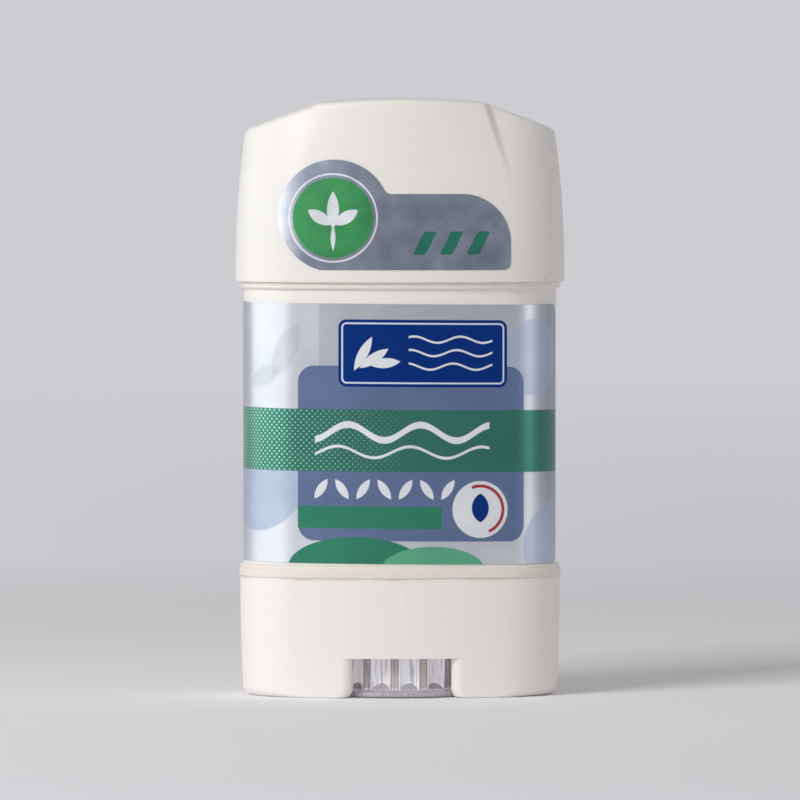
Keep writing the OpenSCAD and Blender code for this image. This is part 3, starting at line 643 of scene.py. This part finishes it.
edge_r, plug_roof_z, drill_h, drill_drop = 0.6 * MM, neck_top + 0.9 * MM, 8 * MM, 3 * MM
outer = []
for a in np.radians([0, 22, 45, 68, 90]):
    ring = crown(plan(-neck_in - edge_r * (1 - math.cos(a)), 0), 0)
    ring[:, 2] -= edge_r * (1 - math.sin(a))
    outer.append(ring)
shares = [1 - k / 24 for k in range(1, 24)] + [0.02]
dome = outer + crown_rings(-neck_in - edge_r, 0, shares)
under = crown_rings(-neck_in - dome_wall, dome_wall, [0.02, 0.2, 0.4, 0.6, 0.8, 0.9, 1])
plug = [plan(-neck_in - dome_wall, plug_roof_z), plan(plug_out - plug_wall, plug_roof_z),
        plan(plug_out - plug_wall, neck_top - plug_h), plan(plug_out - 0.3 * MM, neck_top - plug_h),
        plan(plug_out, neck_top - plug_h + 0.4 * MM), plan(plug_out, neck_top), plan(-neck_in, neck_top)]
n = len(plan(0, 0))
points = np.concatenate(dome + under + plug)
m = len(dome) + len(under) + len(plug)
split = len(dome) - 1
faces = [face for j in range(m) if j != split for face in band(j * n, (j + 1) % m * n, n)]
faces += [tuple(range(split * n, split * n + n)), tuple(range((split + 1) * n, (split + 2) * n))[::-1]]
applicator = solid("dome", points, faces)
hole_tree = Tree("perforations")
cols, rows, pitch, between, wide = (hole_tree.size(*pair) for pair in (
    ("Columns", hole_cols), ("Rows", 2), ("Pitch", hole_pitch), ("Row pitch", row_pitch), ("Radius", hole_r)))
drill = hole_tree.new("GeometryNodeMeshCylinder", None, {"Vertices": 40, "Radius": wide, "Depth": drill_h})
middle_row = hole_tree.new("GeometryNodeMeshGrid", None, {
    "Size X": pitch * (cols - 1), "Size Y": 0.0, "Vertices X": cols, "Vertices Y": 1})
side_rows = hole_tree.new("GeometryNodeMeshGrid", None, {
    "Size X": pitch * (cols - 2), "Size Y": between * 2, "Vertices X": cols - 1, "Vertices Y": rows})
all_rows = hole_tree.tree.nodes.new("GeometryNodeJoinGeometry")
for row in (middle_row, side_rows):
    hole_tree.tree.links.new(row.socket, all_rows.inputs[0])
placed = hole_tree.new("GeometryNodeSetPosition", None, {
    "Geometry": Wire(hole_tree.tree, all_rows.outputs[0]), "Offset": (0, 0, dome_top - drill_drop)})
drills = hole_tree.new("GeometryNodeInstanceOnPoints", None, {"Points": placed, "Instance": drill})
drills = hole_tree.new("GeometryNodeRealizeInstances", None, {0: drills})
holed = hole_tree.new("GeometryNodeMeshBoolean", {"operation": "DIFFERENCE", "solver": "EXACT"},
                      {0: hole_tree.given(), 1: drills})
hole_tree.apply(applicator, holed, insert)
dress(applicator, "barrel", insert, "white_insert", "applicator")


# Cap
# A deep white polypropylene shell that clips over the neck's snap bead and stands on the collar.
# Its ends taper, its shoulders slope, and a proud panel runs up the front and back between two
# creases that fade out halfway down.
cap_out, cap_wall, cap_edge_r, cap_crown = 1.65 * MM, 1.3 * MM, 0.8 * MM, 0.3 * MM
cap_h, corner_h, shoulder_h = 35.35 * MM, 29.4 * MM, 34.6 * MM
end_draft, face_draft = 1.95 * MM, 2.4 * MM
flat_top_w, panel_w, panel_foot_w, panel_foot_h = 33.4 * MM, 30.6 * MM, 41.5 * MM, 17.5 * MM
panel_step, panel_edge_w = 1.5 * MM, 2.2 * MM
panel_cols, edge_cols, end_cols = 18, 14, 44
quarter_cols = panel_cols + edge_cols + end_cols


def cap_half(z, out):
    """Half width, half depth and end radius of the cap's plain oval at height z above its mouth."""
    w = half_w + cap_out + out - end_draft * (z / corner_h) ** 2.2
    d = half_d + cap_out + out - face_draft * (z / cap_h) ** 1.6
    return w, d, end_r + w - half_w


def arc(r, x):
    """Height at x of a circle of radius r about 0, and 0 beyond its ends."""
    return np.sqrt(np.maximum(r * r - x * x, 0))


def cap_face(x, z, out=0):
    """Depth of the cap's plain face at x and height z, out outside it."""
    w, d, r = cap_half(z, out)
    f = ((w - r) ** 2 + d * d - r * r) / (2 * (d - r))
    tangent = (w - r) * f / (f - r)
    return np.where(x < tangent, arc(f, x) - f + d, arc(r, x - w + r))


def panel_half(z):
    return (panel_foot_w + (panel_w - panel_foot_w) * np.clip(
        (z - panel_foot_h) / (shoulder_h - panel_foot_h), 0, 1)) / 2


def cap_columns(z, out):
    """Points of the cap's front right quarter at heights z, one for each column round it."""
    k = np.arange(quarter_cols + 1)
    p = panel_half(z)
    e = p + panel_edge_w
    turn = np.sin(np.pi / 2 * np.clip((k - panel_cols - edge_cols) / end_cols, 0, 1))
    x = np.where(k <= panel_cols, p * k / panel_cols,
                 np.where(k <= panel_cols + edge_cols, p + panel_edge_w * (k - panel_cols) / edge_cols,
                          e + (cap_half(z, out)[0] - e) * turn))
    t = np.clip((x - p) / panel_edge_w, 0, 1)
    rise = np.maximum(0, (z - panel_foot_h) / (shoulder_h - panel_foot_h))
    step = ease(ease(t)) * panel_step * rise**1.5
    y = cap_face(x, z, out) * (1 - step / cap_face(e, z, out))
    return np.stack([x, y, np.broadcast_to(z, x.shape)], 1)


def cap_top():
    """Height at which each column meets the top, from its place a little below."""
    just_below = np.full(quarter_cols + 1, corner_h + 2.5 * MM)
    x = cap_columns(just_below, 0)[:, 0]
    p, w = flat_top_w / 2, half_w + cap_out - end_draft
    return np.where(x < p, cap_h - (cap_h - shoulder_h) * (x / p) ** 2,
                    shoulder_h - (shoulder_h - corner_h) * (x - p) / (w - p))


def round_cap(quarter):
    """Repeats a quarter's points in the other three, anticlockwise from the middle of the front."""
    right = np.concatenate([quarter * [1, -1, 1], (quarter * [1, 1, 1])[-2::-1]])
    return np.concatenate([right, (right * [-1, 1, 1])[-2:0:-1]])


top = cap_top()
lip_r = 0.12 * MM
sides = [round_cap(cap_columns(np.full_like(top, lip_r * (1 - math.cos(a))), -lip_r * (1 - math.sin(a))))
         for a in np.radians([0, 30, 60])]
sides += [round_cap(cap_columns(lip_r + f * (top - cap_edge_r - lip_r), 0)) for f in np.linspace(0, 1, 40)]
sides += [round_cap(cap_columns(top - cap_edge_r * (1 - math.sin(a)), -cap_edge_r * (1 - math.cos(a))))
          for a in np.radians([15, 30, 45, 60, 75, 90])]
inner = [round_cap(cap_columns(f * (top - cap_wall), -cap_wall)) for f in np.linspace(0, 1, 18)]
inner[0] = round_cap(cap_columns(np.zeros_like(top), -cap_wall + 0.1 * MM))
last_out = cap_columns(top, -cap_edge_r)
last_in = cap_columns(top - cap_wall, -cap_wall)


def cap_roof(last, rows, hump):
    """Rows of points between the front and back of the last ring, a little raised in the middle."""
    full = np.concatenate([(last * [-1, 1, 1])[-2:0:-1], last[:-1]])
    return [full * [1, v, 1] + [0, 0, hump * (1 - v * v)] for v in np.linspace(-1, 1, rows + 1)[1:-1]]


def roof_faces(ring, first, rows, up):
    """Faces across the top: ring is its first ring point's number, first the first row point's."""
    q = quarter_cols

    def at(c, j):
        if j == 0 or abs(c) == q:
            return ring + c % (4 * q)
        if j == rows:
            return ring + 2 * q - c
        return first + (j - 1) * (2 * q - 1) + c + q - 1

    made = []
    for c in range(-q, q):
        for j in range(rows):
            face = [at(c, j), at(c + 1, j), at(c + 1, j + 1), at(c, j + 1)]
            made.append(tuple(dict.fromkeys(face if up else face[::-1])))
    return [face for face in made if len(face) > 2]


roof_rows = 14
roof_out, roof_in = cap_roof(last_out, roof_rows, cap_crown), cap_roof(last_in, roof_rows, cap_crown)
n = len(sides[0])
parts = sides + roof_out + inner + roof_in
start_roof = n * len(sides)
start_in = start_roof + sum(len(r) for r in roof_out)
start_roof_in = start_in + n * len(inner)
faces = [face for j in range(len(sides) - 1) for face in band(j * n, (j + 1) * n, n)]
faces += roof_faces(start_roof - n, start_roof, roof_rows, True)
faces += [face[::-1] for j in range(len(inner) - 1)
          for face in band(start_in + j * n, start_in + (j + 1) * n, n)]
faces += roof_faces(start_roof_in - n, start_roof_in, roof_rows, False)
faces += band(start_in, 0, n)
cap = solid("cap_shell", np.concatenate(parts) + [0, 0, cap_foot], faces)
dress(cap, "cap", white, "white_shell", "cap")


# Front label
# A metallised film, printed and stuck round the front of the barrel, a little askew. It goes
# round the left side of the pack and stops just short of the right side.
label_t, glue_t = 0.12 * MM, 0.03 * MM
label_low, label_h, label_r = foot_z + 2.8 * MM, 50.2 * MM, 2.2 * MM
label_right, label_wrap, label_tilt = half_w - 0.38 * MM, 2 * MM, math.radians(0.45)
print_unit = 100


def film(name, points_at, columns, low, high, rows=40):
    """A sheet with a closed edge. points_at(u, v, out) places its points, and its UV map, print,
    holds their u and v in units of print_unit mm."""
    u = np.repeat(columns, rows + 1)
    v = np.concatenate([np.linspace(a, b, rows + 1) for a, b in zip(low, high)])
    front, back = points_at(u, v, glue_t + label_t), points_at(u, v, glue_t)
    m, n, half = len(columns), rows + 1, len(u)
    sheet = [(i * n + j, (i + 1) * n + j, (i + 1) * n + j + 1, i * n + j + 1)
             for i in range(m - 1) for j in range(rows)]
    faces = sheet + [tuple(p + half for p in f[::-1]) for f in sheet]
    rim = [i * n for i in range(m)] + [(m - 1) * n + j for j in range(1, n)]
    rim += [i * n + rows for i in range(m - 2, -1, -1)] + [j for j in range(rows - 1, 0, -1)]
    faces += [(b, a, a + half, b + half) for a, b in zip(rim, rim[1:] + rim[:1])]
    piece = solid(name, np.concatenate([front, back]), faces)
    flat = piece.data.uv_layers.new(name="print")
    at = np.zeros(len(piece.data.loops), int)
    piece.data.loops.foreach_get("vertex_index", at)
    places = np.stack([u, v], 1)[at % half] / (print_unit * MM)
    flat.data.foreach_set("uv", places.ravel().astype(np.float32))
    return piece


face_turn = math.pi / 2 - end_a
face_u = face_r * face_turn


def wrap(u, v, out):
    """Points round the barrel at u along its front from the middle, at height v."""
    on_end = np.abs(u) > face_u
    a = np.clip(u, -face_u, face_u) / face_r
    b = face_turn + (np.abs(u) - face_u).clip(0) / end_r
    x = np.where(on_end, np.sign(u) * (end_x + (end_r + out) * np.sin(b)), (face_r + out) * np.sin(a))
    y = np.where(on_end, -(end_r + out) * np.cos(b), face_y - (face_r + out) * np.cos(a))
    return np.stack([x, y, v], 1)


quarter_u = face_u + end_r * end_a
right_u = face_u + end_r * (math.asin((label_right - end_x) / end_r) - face_turn)
left_u = -quarter_u - label_wrap
corner_u = label_r * (1 - np.cos(np.linspace(0, np.pi / 2, 9)))
front_u = np.concatenate([left_u + corner_u, np.linspace(left_u + label_r, right_u - label_r, 150)[1:-1],
                          right_u - corner_u[::-1]])
end_gap = np.minimum(np.minimum(front_u - left_u, right_u - front_u), label_r)
corner_v = label_r - arc(label_r, label_r - end_gap)
slope = -math.tan(label_tilt) * front_u
front_label = film("front_film", wrap, front_u, label_low + corner_v + slope,
                   label_low + label_h - corner_v + slope)


def box(u, v, left, right, low, high, r):
    """Distance outside a rounded rectangle, in the units of u and v."""
    across = abs(u - (left + right) / 2) - ((right - left) / 2 - r)
    up = abs(v - (low + high) / 2) - ((high - low) / 2 - r)
    beyond = (across.most(0) ** 2 + up.most(0) ** 2) ** 0.5
    return beyond + across.most(up).least(0) - r


def oval_spot(u, v, middle_u, middle_v, half_wide, half_high):
    """Distance outside an ellipse, measured along its height."""
    across, up = (u - middle_u) / half_wide, (v - middle_v) / half_high
    return ((across * across + up * up) ** 0.5 - 1) * half_high


def leaf(u, v, middle_u, middle_v, long, wide, turn):
    """Distance outside a pointed leaf, turned anticlockwise by so many degrees."""
    c, s = math.cos(math.radians(turn)), math.sin(math.radians(turn))
    along = (u - middle_u) * c + (v - middle_v) * s
    across = abs((v - middle_v) * c - (u - middle_u) * s)
    r = (long * long + wide * wide) / (4 * wide)
    shift = across + (r - wide / 2)
    return (along * along + shift * shift) ** 0.5 - r


def wave(u, v, middle_v, swing, length, wide, phase=0.0):
    """Distance outside a wavy line."""
    turn = u * (2 * math.pi / length) + phase
    return abs(v - middle_v - turn.math("SINE", turn) * swing) - wide / 2


def ink(distance, blur=0.07):
    """1 inside and 0 outside, with the soft edge that ink has."""
    return distance.rise(blur, -blur)


def lay(colour, shine, layers):
    """Lays each layer (mask, colour, metallic share) over the film: print, and on the front film painted
    reflections too.
    """
    for mask, tint, gloss in layers:
        colour = mask.paint(tint, colour)
        shine = mask * (gloss - shine) + shine
    return colour, shine


def times(colour, shade):
    mixed = {"Factor_Float": 1.0, "A_Color": colour, "B_Color": shade}
    return shade.new("ShaderNodeMix", {"data_type": "RGBA", "blend_type": "MULTIPLY"}, mixed, out=2)


# The design is drawn in mm, with u round the barrel from the middle of the front and v up from the table.
# Each layer is laid over the ones before it: the first three are painted reflections and the rest print.
foil, net, shader = finish("front_foil")
u, v, _ = net.new("ShaderNodeUVMap", {"uv_map": "print"}).axes()
u = u * print_unit
v = v * print_unit + u * math.tan(label_tilt)
place = net.new("ShaderNodeTexCoord", None, None, out=3)
cloud = net.new("ShaderNodeTexNoise", None, {"Vector": place, "Scale": 120.0, "Detail": 4.0})
silver, navy, slate = (0.55, 0.575, 0.615, 1), (0.001, 0.038, 0.244, 1), (0.16, 0.22, 0.38, 1)
green, pale, white_ink = (0.045, 0.27, 0.165, 1), (0.42, 0.5, 0.66, 1), (0.8, 0.82, 0.84, 1)
dot_pitch, badge_u, badge_v = 0.8, 15.2, 36.6
slant_a, slant_b = (u + v) / (dot_pitch * 2**0.5), (u - v) / (dot_pitch * 2**0.5)
dot = ((slant_a % 1 - 0.5) ** 2 + (slant_b % 1 - 0.5) ** 2) ** 0.5
stripe = ink(box(u, v, -60, 60, 43.8, 55.8, 0.2))
# Halftone dots of the print, grown larger towards the left as painted highlight and towards the right as
# painted shade.
light_dot = ink(dot - (u.rise(12, -36) * 0.36 - 0.02)) * stripe
dark_dot = ink(dot - (u.rise(-10, 30) * 0.2 - 0.02)) * stripe
wave_ends = ink(abs(u) - 17)
plate = box(u, v, -12.4, 20.6, 60.2, 73.2, 1.6)
badge = oval_spot(u, v, badge_u, badge_v, 5.5, 5.5)
drop = leaf(u, v, badge_u, badge_v + 0.3, 5.6, 3.4, 90)
layers = [
    # the bare foil with painted reflections, darker at its right end and lighter at its left end and lower
    # part, then pale discs and grey leaves
    (u.rise(27, 31) * 0.5, (0.2, 0.23, 0.28, 1), 0.85),
    (u.rise(-36, -31) * u.rise(-16, -16.4) * 0.5, (0.8, 0.82, 0.86, 1), 0.85),
    (v.rise(42, 27) * 0.58, (0.82, 0.84, 0.88, 1), 0.85),
    (ink(oval_spot(u, v, 27, 66, 7.5, 7.5), 0.2) * 0.6, pale, 0.6),
    (ink(oval_spot(u, v, -30, 44, 12, 12), 0.2) * 0.8, pale, 0.5),
    (ink(oval_spot(u, v, 33, 29, 9, 9), 0.2) * 0.7, pale, 0.5),
    (ink(leaf(u, v, -23, 67, 12, 4.6, 62), 0.2) * 0.45, (0.5, 0.53, 0.56, 1), 0.7),
    (ink(leaf(u, v, -28, 62, 9, 3.6, 20), 0.2) * 0.45, (0.5, 0.53, 0.56, 1), 0.7),
    # a slate panel with a green strip, and two hills at the foot
    (ink(box(u, v, -20.4, 24.2, 30.4, 64.2, 3.2)), slate, 0.85),
    (ink(box(u, v, -20.4, 7.6, 32.8, 37.1, 0.1)), green, 0.8),
    (ink(oval_spot(u, v, -9, 25.0, 13.5, 6.2)), green, 0.8),
    (ink(oval_spot(u, v, 6, 25.0, 10, 4.4)), (0.15, 0.5, 0.3, 1), 0.8),
    # a green stripe right across, its dots and two waves
    (stripe, (0.052, 0.215, 0.155, 1), 0.85),
    (light_dot, (0.34, 0.7, 0.52, 1), 0.85),
    (dark_dot, (0.03, 0.14, 0.1, 1), 0.8),
    (ink(wave(u, v, 51.4, 1.5, 14, 1.3)) * wave_ends, white_ink, 0.1),
    (ink(wave(u, v, 47.6, 1.1, 14, 0.55, 0.9)) * wave_ends, white_ink, 0.1),
    # a navy plate with a pale line, and a badge with an arc and a drop
    (ink(plate), navy, 0.85),
    (ink(abs(plate + 0.75) - 0.16), (0.7, 0.76, 0.84, 1), 0.1),
    (ink(badge), white_ink, 0.1),
    (ink(abs(badge + 0.95) - 0.3) * ink(badge_u - u + (badge_v - v) * 0.4),
     (0.42, 0.02, 0.045, 1), 0.1),
    (ink(drop), navy, 0.8),
]
# leaves and waves on the plate, and a row of leaves under the stripe
for k in range(3):
    lean = 62 - 28 * k
    layers.append((ink(leaf(u, v, -7.6 + 2.1 * k, 66.6 - 0.9 * k, 7.4 - 0.7 * k, 1.9, lean)), white_ink, 0.1))
    layers.append((ink(wave(u, v, 69.4 - 2.6 * k, 0.6, 9, 0.4, 0.5 * k)) * ink(abs(u - 9.4) - 8.2),
                   white_ink, 0.1))
for k in range(7):
    layers.append((ink(leaf(u, v, -15.8 + 4.1 * k, 40.4, 4.6, 1.6, 90 - 34 * (-1) ** k)), white_ink, 0.1))
colour, shine = lay(silver, 0.85, layers)
wrinkle = net.new("ShaderNodeTexNoise", None, {"Vector": place, "Scale": 30.0, "Detail": 2.0})
shade = cloud.rise(0.25, 0.75).paint((1, 1, 1, 1), (0.86, 0.87, 0.89, 1))
feed(shader, Base_Color=times(colour, shade), Metallic=shine,
     Roughness=0.5 - shine * 0.24 + cloud * 0.06, Normal=net.new(
         "ShaderNodeBump", None, {"Height": wrinkle, "Strength": 0.3, "Distance": 0.1 * MM}))
dress(front_label, "barrel", foil, "front_foil", "front_label")


# Cap label
# The same kind of film, printed, cut in one piece and stuck low on the front of the cap: a disc
# with a bar to its right, cut flat along the foot.
disc_r, disc_x, disc_z = 10.83 * MM, -13.1 * MM, 12.9 * MM
bar_right, bar_foot, bar_h, bar_top_r, bar_foot_r = 21 * MM, 2.45 * MM, 14.65 * MM, 9.4 * MM, 1.4 * MM
fillet_r, glue_press = 1.6 * MM, 0.025 * MM
bar_top = bar_foot + bar_h
fillet_x = disc_x + math.sqrt((disc_r + fillet_r) ** 2 - (bar_top + fillet_r - disc_z) ** 2)
meet_x = disc_x + (fillet_x - disc_x) * disc_r / (disc_r + fillet_r)
label_u = np.concatenate([
    disc_x - disc_r * np.cos(np.linspace(0.05, np.pi / 2, 40)),
    np.linspace(disc_x, meet_x, 26)[1:], np.linspace(meet_x, fillet_x, 8)[1:],
    np.linspace(fillet_x, bar_right - bar_top_r, 22)[1:],
    bar_right - bar_top_r + bar_top_r * np.sin(np.linspace(0, np.pi / 2, 26))[1:]])
disc_half = arc(disc_r, label_u - disc_x)
over = np.where(label_u < meet_x, disc_z + disc_half, np.where(
    label_u < fillet_x, bar_top + fillet_r - arc(fillet_r, label_u - fillet_x),
    bar_top - bar_top_r + arc(bar_top_r, (label_u - bar_right + bar_top_r).clip(0))))
foot = (label_u - bar_right + bar_foot_r).clip(0, bar_foot_r)
under = np.where(label_u < disc_x, np.maximum(bar_foot, disc_z - disc_half),
                 bar_foot + bar_foot_r - arc(bar_foot_r, foot))


def on_cap(u, v, out):
    """Points on the cap at u from its middle and v above its mouth, with the glue pressed thin."""
    return np.stack([u, -cap_face(np.abs(u), v, out - glue_press), v + cap_foot], 1)


cap_label = film("cap_film", on_cap, label_u, under, over, rows=24)
cap_foil, net, shader = finish("cap_foil")
u, v, _ = net.new("ShaderNodeUVMap", {"uv_map": "print"}).axes()
u, v = u * print_unit, v * print_unit
place = net.new("ShaderNodeTexCoord", None, None, out=3)
cloud = net.new("ShaderNodeTexNoise", None, {"Vector": place, "Scale": 230.0, "Detail": 5.0})
sprig_u, sprig_v, slash_low, slash_high, slash_w = -13.4, 11.0, 5.4, 9.9, 2.5
spot = oval_spot(u, v, sprig_u, 12.5, 7.75, 7.75)
layers = [(ink(abs(spot - 0.7) - 0.17), (0.82, 0.84, 0.87, 1), 0.1),
          (ink(spot), (0.035, 0.3, 0.085, 1), 0.3)]
for lean in (-58, 0, 58):
    tip = math.radians(lean)
    layers.append((ink(leaf(u, v, sprig_u + 3 * math.sin(tip), sprig_v + 3 * math.cos(tip),
                            7.2 - abs(lean) / 30, 2.3, 90 - lean)), white_ink, 0.1))
layers.append((ink(leaf(u, v, sprig_u, 8.6, 5.0, 0.9, 90)), white_ink, 0.1))
slanted = u - (v - 7.6) * 0.5
for left in (3.0, 8.2, 13.4):
    slash = box(slanted, v, left, left + slash_w, slash_low, slash_high, 0.5)
    layers.append((ink(slash), (0.02, 0.2, 0.13, 1), 0.4))
# painted highlights: the slate foil is painted pale at the disc's left end and lighter at the bar's right
# end, as reflections of the lamps
painted_highlight_left = (-17.3 - u).rise(0, 6.2) ** 2
slate_foil_with_highlights = painted_highlight_left.paint((0.75, 0.77, 0.83, 1), (0.285, 0.315, 0.375, 1))
slate_foil_with_highlights = (u.rise(18, 20.5) * 0.4).paint((0.42, 0.49, 0.56, 1), slate_foil_with_highlights)
colour, shine = lay(slate_foil_with_highlights, 0.85, layers)
shade = cloud.rise(0.3, 0.7).paint((1, 1, 1, 1), (0.68, 0.7, 0.74, 1))
feed(shader, Base_Color=times(colour, shade), Metallic=shine, Roughness=0.42 - shine * 0.16 + cloud * 0.08)
dress(cap_label, "cap", cap_foil, "cap_foil", "cap_label")
